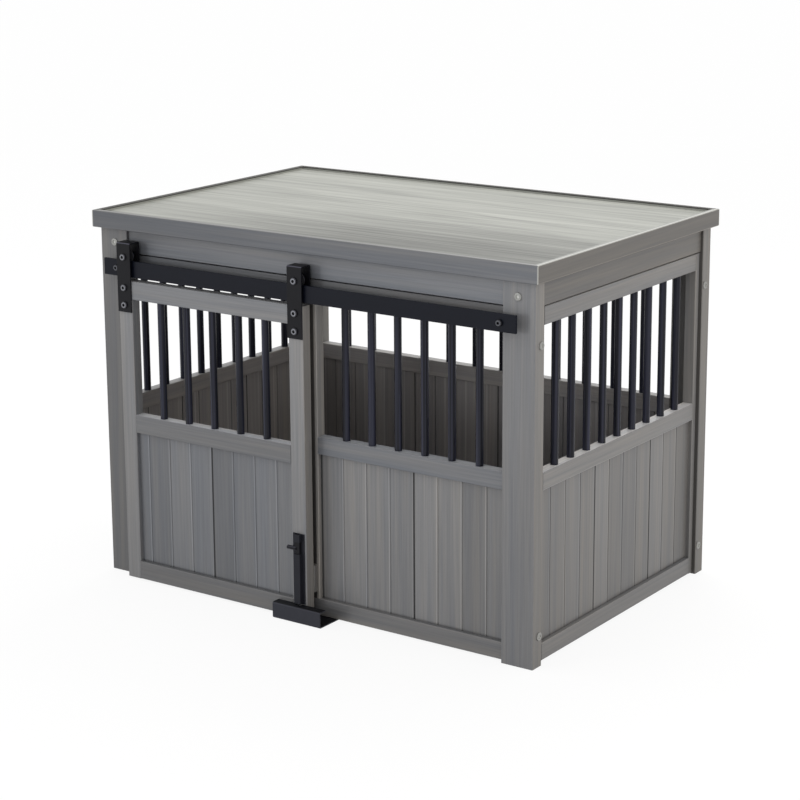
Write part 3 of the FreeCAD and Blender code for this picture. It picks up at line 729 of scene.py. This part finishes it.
# %% Top panel
PANEL_PALE = paint(172, 173, 166)
PANEL_DARK = paint(122, 123, 118)
PANEL_SHINE = 0.1
PANEL_ROUGHNESS = 0.28
FIGURE_ROUGHNESS = 0.14
FIGURE_HEIGHT = 0.05 * MM
FINE_SIZE = (5, 420)
LINE_SIZE = (12, 240)
BROAD_SIZE = (50, 700)
FINE_SHARE = 0.5
LINE_SHARE = 0.3
BROAD_SHARE = 0.2
FIGURE_LIMITS = (0.36, 0.64)
FRONT_SHARE = 0.34
FRONT_BLEND = 110 * MM
FRONT_WANDER = 300 * MM
FRONT_REACH = (-420 * MM, 50 * MM)
FRONT_GAIN = 1.2
FRONT_LEAN = 0.08
FRONT_DEPTH = 0.42
FRONT_SWING = 0.6
FLAME_SHARE = 0.59
FLAME_WIDTH = 11 * MM
FLAME_STEP = 16 * MM
FLAME_STEPS = (110 * MM, 220 * MM)
FLAME_STARTS = (-60 * MM, 60 * MM)
FLAME_ENDS = (360 * MM, 220 * MM)
FLAME_DEPTH = 0.26


def panel_line(share):
    """The place that is a share of the way from the panel's front to its back."""
    low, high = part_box("top_panel")
    return low.y + (high.y - low.y) * share


def flame(graph):
    """One soft dark flame in the figure, which steps forward along its way."""
    across = graph.where(RIGHT)
    line = panel_line(FLAME_SHARE) - graph.ramp(across, *FLAME_STEPS) * FLAME_STEP
    near = graph.ramp(abs(graph.where(BACK) - line), FLAME_WIDTH, 0)
    return near * graph.ramp(across, *FLAME_STARTS) * graph.ramp(across, *FLAME_ENDS)


def top_panel(graph):
    """The panel's figure, with its dark front and its flame."""
    fine = graph.noise(grain_scales(RIGHT, *FINE_SIZE), detail=5, distortion=0.4)
    lines = graph.noise(grain_scales(RIGHT, *LINE_SIZE), detail=3)
    broad = graph.noise(grain_scales(RIGHT, *BROAD_SIZE), detail=3, distortion=0.8)
    figure = fine * FINE_SHARE + lines * LINE_SHARE + broad * BROAD_SHARE
    colour = graph.mix(graph.ramp(figure, *FIGURE_LIMITS), PANEL_DARK, PANEL_PALE)
    start = panel_line(FRONT_SHARE)
    wander = (broad - NOISE_MEAN) * FRONT_WANDER
    front = graph.ramp(graph.where(BACK) + wander, start + FRONT_BLEND, start - FRONT_BLEND)
    across = graph.where(RIGHT)
    reach = graph.ramp(across, *FRONT_REACH) * (FRONT_GAIN + across * FRONT_LEAN)
    depth = front * reach * (FRONT_DEPTH + (NOISE_MEAN - fine) * FRONT_SWING)
    return {"Base Color": graph.shade(colour, 1 - depth - flame(graph) * FLAME_DEPTH),
            "Roughness": PANEL_ROUGHNESS + fine * FIGURE_ROUGHNESS, "Specular IOR Level": PANEL_SHINE,
            "Normal": graph.bump(fine, FIGURE_HEIGHT)}


dress("top_panel", material_from("top_panel", top_panel))
print(f"the panel's front is darker up to {panel_line(FRONT_SHARE):.3f} m")

# %% [markdown]
# ## Rim of the top
# The panel lies a little below a mitred rim. The rim's inner lip has painted shade, a dark line, above a
# pale line of painted light. The upper faces have painted light or shade by side: dull at the back and the
# left, lighter at the front and at the right, whose outer edge, like the mitred corners, has a painted
# highlight with some wear. A pale painted highlight also runs along the right rim's lower edge. A face's
# own direction tells the lip, the upper edge and the outer face apart, so one finish covers a whole rim
# board and no board has to be cut into strips.

# %% Rim of the top
WORN_HIGHLIGHT = paint(176, 176, 171)
INNER_TOP_LIGHT = paint(132, 132, 128)
FRONT_TOP_LIGHT = paint(112, 112, 111)
SHADED_TOP = paint(74, 73, 70)
LOWER_HIGHLIGHT = paint(124, 119, 113)
LIP_SHADE = paint(58, 57, 55)
LIP_LIGHT = paint(150, 151, 145)
HIGHLIGHT_WIDTH = 6 * MM
LIP_LINE = 3 * MM
ARRIS = 2 * MM
LIP_START = 0.6
UPPER_START = 0.5
UPPER_FULL = 0.8
WAXED = 0.5
MATT = 0.05
# Each rim's lip axis, the painted light or shade of its upper face, and its shine.
RIMS = {"top_rim_front": ((BACK, 1), FRONT_TOP_LIGHT, WAXED), "top_rim_back": ((BACK, -1), SHADED_TOP, MATT),
        "top_rim_left": ((RIGHT, 1), SHADED_TOP, MATT), "top_rim_right": ((RIGHT, -1), WORN_HIGHLIGHT, WAXED)}


def corner_mask(graph):
    """1 on the upright corners of the rim, within an arris of both outer faces."""
    low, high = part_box("top_rim_right")
    middle = (low.y + high.y) / 2
    past_side = abs(graph.where(RIGHT)) - (high.x - ARRIS)
    past_end = abs(graph.where(BACK) - middle) - (high.y - middle - ARRIS)
    return graph.ramp(graph.math("MINIMUM", past_side, past_end), 0, ARRIS / 4)


def rim_wood(name, inward, edge, shine):
    """Stained wood whose upper face has painted light or shade, and whose lip has painted shade over
    painted light. Inward is the lip's axis and sign.
    """
    low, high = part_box(name)

    def build(graph):
        colour, fibres = stain(graph, name, grain_of(name))
        up = graph.where(UP)
        upper = edge
        if name == "top_rim_right":
            # A pale painted highlight along the right rim's lower edge.
            lower = graph.ramp(up, low.z + ARRIS * (1 + LINE_SOFTNESS), low.z + ARRIS)
            colour = graph.mix(lower, colour, LOWER_HIGHLIGHT)
            # The right rim's upper face has painted light, brightest as a painted highlight along its
            # outer edge.
            highlight_start = high.x - HIGHLIGHT_WIDTH
            upper = graph.mix(graph.ramp(graph.where(RIGHT), highlight_start, highlight_start + ARRIS / 2), INNER_TOP_LIGHT, edge)
        # A painted highlight, with some wear, on the mitred corners.
        colour = graph.mix(corner_mask(graph), colour, WORN_HIGHLIGHT)
        # The upper face gets its painted light or shade.
        colour = graph.mix(graph.looking(UP, start=UPPER_START, full=UPPER_FULL), colour, upper)
        # Painted shade on the lip's upper part, and painted light below it.
        shadow = graph.ramp(up, high.z - LIP_LINE, high.z - LIP_LINE * (1 - LINE_SOFTNESS))
        lip = graph.mix(shadow, LIP_LIGHT, LIP_SHADE)
        colour = graph.mix(graph.looking(*inward, start=LIP_START), colour, lip)
        return {**satin(graph, colour, fibres), "Specular IOR Level": shine}
    return material_from("rim_" + name, build)


for name, (inward, edge, shine) in RIMS.items():
    dress(name, rim_wood(name, inward, edge, shine))
print(f"{len(RIMS)} rim boards finished")

# %% [markdown]
# ## Black iron
# Track, hangers, latch and guide are powder-coated steel: nearly black, satin, and finely pebbled, with a
# paler line along the edges that is partly wear and partly painted highlight, strongest on the hangers.
# The floor guide is lighter, with painted shade on its top, and the latch's bolt is darker than its
# housing, so each has its own coat.

# %% Coats of the iron
PEBBLES = (900, 900, 900)
PEBBLE_HEIGHT = 0.04 * MM
CLOUDS = (25, 25, 25)
CLOUD_START = 0.8
CLOUD_DEPTH = 0.4
CLOUD_ROUGHNESS = 0.15
IRON_SHINE = 0.15
TOP_START = 0.5


def coated(name, colour, roughness, edge_wear_and_highlight, top_shade=0.0):
    """Powder coat. The edges get paler, partly by wear and partly as a painted highlight, and top_shade
    paints shade on the upper faces.
    """
    def build(graph):
        pebbles = graph.noise(PEBBLES, detail=2)
        clouds = graph.noise(CLOUDS, detail=3)
        # Paler edges: partly wear, partly a painted highlight.
        level = CLOUD_START + clouds * CLOUD_DEPTH + edge_mask(graph) * edge_wear_and_highlight
        if top_shade:
            # Painted shade on the upper faces.
            level = level * (1 - graph.looking(UP, start=TOP_START) * top_shade)
        return {"Base Color": graph.shade(colour, level),
                "Roughness": roughness + (clouds - NOISE_MEAN) * CLOUD_ROUGHNESS,
                "Specular IOR Level": IRON_SHINE, "Normal": graph.bump(pebbles, PEBBLE_HEIGHT)}
    return material_from(name, build)


iron = coated("black_iron", paint(12, 15, 26), roughness=0.42, edge_wear_and_highlight=1.5)
hanger_iron = coated("hanger_iron", paint(19, 19, 23), roughness=0.42, edge_wear_and_highlight=12)
# The guide's upper faces get painted shade.
guide_iron = coated("guide_iron", paint(52, 53, 60), roughness=0.5, edge_wear_and_highlight=0.5, top_shade=0.8)
latch_iron = coated("latch_iron", paint(35, 36, 42), roughness=0.45, edge_wear_and_highlight=1)
bolt_iron = coated("bolt_iron", paint(21, 21, 25), roughness=0.45, edge_wear_and_highlight=4)
iron_of = {"track_bar": iron, "hanger_left": hanger_iron, "hanger_right": hanger_iron,
           "latch_body": latch_iron, "latch_bolt": bolt_iron, "floor_guide": guide_iron}
print(f"coats for {', '.join(iron_of)}")

# %% [markdown]
# ## Eased plates
# A mesh edge is infinitely sharp and catches no light at all, so each iron plate gets a copy of its solid
# whose corners are eased by a narrow bevel. The copy stands for the solid in the picture only, and rides
# on the same body.

# %% Eased plates
CORNER = math.radians(40)
EASE = 0.7 * MM
body_of = {name: body for body, group in frame["record"]["behaviour"]["bodies"].items() for name in group}


def stand_in(name, title, shape, *materials):
    """The piece that stands for a solid: it rides on the same body, and the solid is hidden."""
    mesh = bpy.data.meshes.new(title)
    shape.to_mesh(mesh)
    shape.free()
    for material in materials:
        mesh.materials.append(material)
    piece = bpy.data.objects.new(title, mesh)
    bpy.context.collection.objects.link(piece)
    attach(piece, body_of[name])
    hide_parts(name)


for name in IRON:
    plate = merged(name)
    sharp = [edge for edge in plate.edges if edge.is_manifold and edge.calc_face_angle() > CORNER]
    bmesh.ops.bevel(plate, geom=sharp, offset=EASE, offset_type="OFFSET", affect="EDGES", segments=2,
                    profile=0.5, material=-1, clamp_overlap=True)
    stand_in(name, name + "_eased", plate, iron_of[name])
print(f"{len(IRON)} iron pieces eased")

# %% [markdown]
# ## Bars and rollers
# The bars are enamelled tube, smoother and a little bluer than the plates, with faint drawing marks along
# them that are made pale enough to stand for painted highlights. The rollers are dark nylon with light
# scuffs. A packed cylinder is a ring of flat strips, so its copy is shaded smooth, with sharp edges kept
# at the ends. More strips would give the same look with many more faces.

# %% Bars and rollers
ENAMEL = paint(31, 32, 42)
ENAMEL_START = 0.35
ENAMEL_SHINE = 0.2
ENAMEL_ROUGHNESS = 0.24
RUNS = (60, 60, 4)
RUN_DEPTH = 0.5
RUN_ROUGHNESS = 0.08
HIGHLIGHT_LINES = (230, 230, 1.5)
HIGHLIGHT_LIMITS = (0.4, 0.65)
HIGHLIGHT_DEPTH = 1.9
NYLON = paint(46, 46, 50)
NYLON_START = 0.7
NYLON_ROUGHNESS = 0.4
SCUFFS = (300, 40, 300)
SCUFF_DEPTH = 0.6
SCUFF_ROUGHNESS = 0.2


def smooth_copy(name):
    """A copy of round solids, shaded smooth except over their corners."""
    shape = merged(name)
    for face in shape.faces:
        face.smooth = True
    for edge in shape.edges:
        edge.smooth = edge.is_manifold and edge.calc_face_angle() < CORNER
    return shape


def enamel(graph):
    """Dark enamel with drawing marks along the tube, pale enough to stand for painted highlights."""
    runs = graph.noise(RUNS, detail=3)
    # Drawing marks along the tube, made pale enough to stand for painted highlights.
    lines = graph.ramp(graph.noise(HIGHLIGHT_LINES, detail=1), *HIGHLIGHT_LIMITS)
    return {"Base Color": graph.shade(ENAMEL, ENAMEL_START + runs * RUN_DEPTH + lines * HIGHLIGHT_DEPTH),
            "Roughness": ENAMEL_ROUGHNESS + runs * RUN_ROUGHNESS, "Specular IOR Level": ENAMEL_SHINE}


def nylon(graph):
    """Dark nylon with light scuffs."""
    scuffs = graph.noise(SCUFFS, detail=3)
    return {"Base Color": graph.shade(NYLON, NYLON_START + scuffs * SCUFF_DEPTH),
            "Roughness": NYLON_ROUGHNESS + scuffs * SCUFF_ROUGHNESS}


tube = material_from("black_tube", enamel)
roller_finish = material_from("roller_nylon", nylon)
rounded = {name: tube for name in nodes if name.endswith("_bars")}
rounded.update(dict.fromkeys(ROLLERS, roller_finish))
rounded.update(dict.fromkeys(("roller_sleeves", "track_spacers"), iron))
for name, finish in rounded.items():
    stand_in(name, name + "_round", smooth_copy(name), finish)
print(f"{len(rounded)} round pieces smoothed")

# %% [markdown]
# ## Measuring the bolts
# The bolts in the solids are plain: a round head on a rod, and a nut on the far end of each axle. Where
# each one sits, which way it points and how big it is could be typed in again, but then it might drift
# from the solids. So it is measured: the longest side of a bolt's box is its axis, and the spread of its
# points about that axis gives the head, the shank and the nut.

# %% Measuring the bolts
HEAD_SHARE = 0.97
CENTRE_SHARE = 0.1
NUT_SHARE = 1.2


def measure_bolt(solid):
    """A bolt's seat and outward direction, its sizes, and the nut on its far end if there is one."""
    low = Vector([min(vertex.co[axis] for vertex in solid) for axis in range(3)])
    high = Vector([max(vertex.co[axis] for vertex in solid) for axis in range(3)])
    axis = max(range(3), key=lambda index: (high - low)[index])
    middle = (low + high) / 2
    outward = Vector([math.copysign(float(index == axis), middle[axis]) for index in range(3)])
    depths = [(vertex.co - middle).dot(outward) for vertex in solid]
    spreads = [(vertex.co - middle - outward * depth).length for vertex, depth in zip(solid, depths)]
    rings = list(zip(depths, spreads))
    radius = max(spread for depth, spread in rings if depth > 0)
    seat = min(depth for depth, spread in rings if depth > 0 and spread > HEAD_SHARE * radius)
    below = [spread for depth, spread in rings if depth < seat - WELD]
    shank = min(spread for spread in below if spread > CENTRE_SHARE * radius)
    nut = [(depth - seat, spread) for depth, spread in rings if depth < 0 and spread > NUT_SHARE * shank]
    sizes = radius, max(depths) - seat, shank, seat - min(depths)
    return middle + outward * seat, outward, sizes, nut


def bolts_of(name):
    """The measures of all the bolts in a node."""
    plain = merged(name)
    found = [measure_bolt(solid) for solid in islands(plain)]
    plain.free()
    return found


print(f"{len(bolts_of('hanger_screws'))} screws hold the hangers")

# %% [markdown]
# ## Shape of a bolt
# Every bolt has a low round head with a hexagon socket. The profile of half a bolt is spun about its
# axis, the inner ring of the spin is pulled into a hexagon, and the hexagon is pushed down to make the
# socket. A boolean cut would make the same socket, but it leaves long thin faces that shade badly.

# %% Shape of a bolt
SPIN_STEPS = 24
DOME_STEPS = 5
SOCKET_SHARE = 0.48
SHOULDER_SHARE = 0.35
RING_SHARE = 0.74
SOCKET_DEPTH_SHARE = 0.7
HEXAGON_SIDES = 6
HEXAGON_TURN = 2 * math.pi / HEXAGON_SIDES
LEVEL = 0.99
RING_SLOT = 1
SOCKET_SLOT = 2


def bolt_profile(radius, height, shank, bite):
    """Half a bolt, from the foot of its shank to the mouth of its socket."""
    shoulder = height * SHOULDER_SHARE
    ring = radius * RING_SHARE
    profile = [(0, -bite), (shank, -bite), (shank, 0), (radius, 0)]
    for step in range(DOME_STEPS + 1):
        turn = math.pi / 2 * step / DOME_STEPS
        across = ring + (radius - ring) * math.cos(turn)
        profile.append((across, shoulder + (height - shoulder) * math.sin(turn)))
    profile.append((radius * SOCKET_SHARE, height))
    return profile


def bolt_shape(radius, height, shank, bite):
    """A round-headed bolt that stands on the origin. Its ring and its socket have slots of their own."""
    shape = bmesh.new()
    profile = bolt_profile(radius, height, shank, bite)
    points = [shape.verts.new((across, 0, up)) for across, up in profile]
    lines = [shape.edges.new(pair) for pair in zip(points, points[1:])]
    bmesh.ops.spin(shape, geom=points + lines, cent=(0, 0, 0), axis=(0, 0, 1), angle=2 * math.pi,
                   steps=SPIN_STEPS, use_merge=True)
    bmesh.ops.remove_doubles(shape, verts=shape.verts, dist=WELD)
    mouth = [edge for edge in shape.edges if edge.is_boundary]
    for vertex in dict.fromkeys(vertex for edge in mouth for vertex in edge.verts):
        turn = math.atan2(vertex.co.y, vertex.co.x) % HEXAGON_TURN - HEXAGON_TURN / 2
        pull = math.cos(HEXAGON_TURN / 2) / math.cos(turn)
        vertex.co.x *= pull
        vertex.co.y *= pull
    walls = bmesh.ops.extrude_edge_only(shape, edges=mouth)["geom"]
    foot = [part for part in walls if isinstance(part, bmesh.types.BMVert)]
    bmesh.ops.translate(shape, verts=foot, vec=(0, 0, -height * SOCKET_DEPTH_SHARE))
    bmesh.ops.contextual_create(shape, geom=foot)
    bmesh.ops.recalc_face_normals(shape, faces=shape.faces)
    for face in shape.faces:
        middle = face.calc_center_median()
        outside = math.hypot(middle.x, middle.y) > radius * SOCKET_SHARE
        face.smooth = abs(face.normal.z) < LEVEL and outside
        if middle.z > 0 and not outside:
            face.material_index = SOCKET_SLOT
        elif middle.z > height * LEVEL:
            face.material_index = RING_SLOT
    return shape


print(f"a bolt is spun in {SPIN_STEPS} steps")

# %% [markdown]
# ## Fasteners
# Hanger screws, track bolts and axles are dark with a pale ring round the socket, partly wear and partly
# painted highlight, duller on the track, and painted shade in the socket. The screws in the posts are
# zinc, with a painted glint in the socket. Each finish is plain metal with fine scratches, and each node's
# bolts become one piece, because the node that they stand for is one piece too.

# %% Fasteners
SCRATCHES = (700, 700, 700)
SCRATCH_START = 0.75
SCRATCH_DEPTH = 0.5
SCRATCH_ROUGHNESS = 0.15
PLAIN_HEAD = 1.0
FLANGED_HEAD = 1.15
WASHER_HEAD = 1.26


def metal(name, colour, roughness, shine):
    """Metal with fine scratches. A shine of 1 is bare, and less is partly coated."""
    def build(graph):
        scratches = graph.noise(SCRATCHES, detail=2)
        return {"Base Color": graph.shade(colour, SCRATCH_START + scratches * SCRATCH_DEPTH),
                "Roughness": roughness + scratches * SCRATCH_ROUGHNESS, "Metallic": shine}
    return material_from(name, build)


def bolts_for(name, flange, *materials):
    """Bolts in place of a node's plain ones, with heads widened by a flange. A nut stays a hexagon."""
    found = bolts_of(name)
    shape = bmesh.new()
    for seat, outward, (radius, *sizes), nut in found:
        bolt = bolt_shape(radius * flange, *sizes)
        if nut:
            near, far = max(nut)[0], min(nut)[0]
            size = max(spread for depth, spread in nut)
            centre = Matrix.Translation((0, 0, (near + far) / 2))
            bmesh.ops.create_cone(bolt, cap_ends=True, segments=HEXAGON_SIDES, radius1=size, radius2=size,
                                  depth=near - far, matrix=centre)
        turn = outward.to_track_quat("Z", "Y").to_matrix().to_4x4()
        bmesh.ops.transform(bolt, matrix=Matrix.Translation(seat) @ turn, verts=bolt.verts)
        mesh = bpy.data.meshes.new("bolt")
        bolt.to_mesh(mesh)
        bolt.free()
        shape.from_mesh(mesh)
        bpy.data.meshes.remove(mesh)
    stand_in(name, name + "_socketed", shape, *materials)
    print(f"{len(found)} bolts for {name}, heads {2 * found[0][2][0] * flange / MM:.1f} mm wide")


dark_head = metal("dark_head", paint(70, 70, 75), roughness=0.28, shine=0.8)
# The rings round the sockets: wear and a painted highlight.
worn_highlight_ring = metal("worn_highlight_ring", paint(122, 123, 128), roughness=0.3, shine=0.8)
dull_highlight_ring = metal("dull_highlight_ring", paint(84, 85, 90), roughness=0.36, shine=0.8)
# Painted shade in the sockets.
socket_shade = metal("socket_shade", paint(30, 30, 33), roughness=0.4, shine=0.6)
zinc = metal("zinc_screw", paint(150, 150, 147), roughness=0.34, shine=0.5)
# A painted glint in the zinc screws' sockets.
bright_zinc = metal("bright_zinc", paint(186, 186, 182), roughness=0.3, shine=0.5)
bolts_for("hanger_screws", FLANGED_HEAD, dark_head, worn_highlight_ring, socket_shade)
bolts_for("track_bolts", PLAIN_HEAD, dark_head, dull_highlight_ring, socket_shade)
bolts_for("roller_axles", FLANGED_HEAD, dark_head, worn_highlight_ring, socket_shade)
bolts_for("post_screws", WASHER_HEAD, zinc, zinc, bright_zinc)
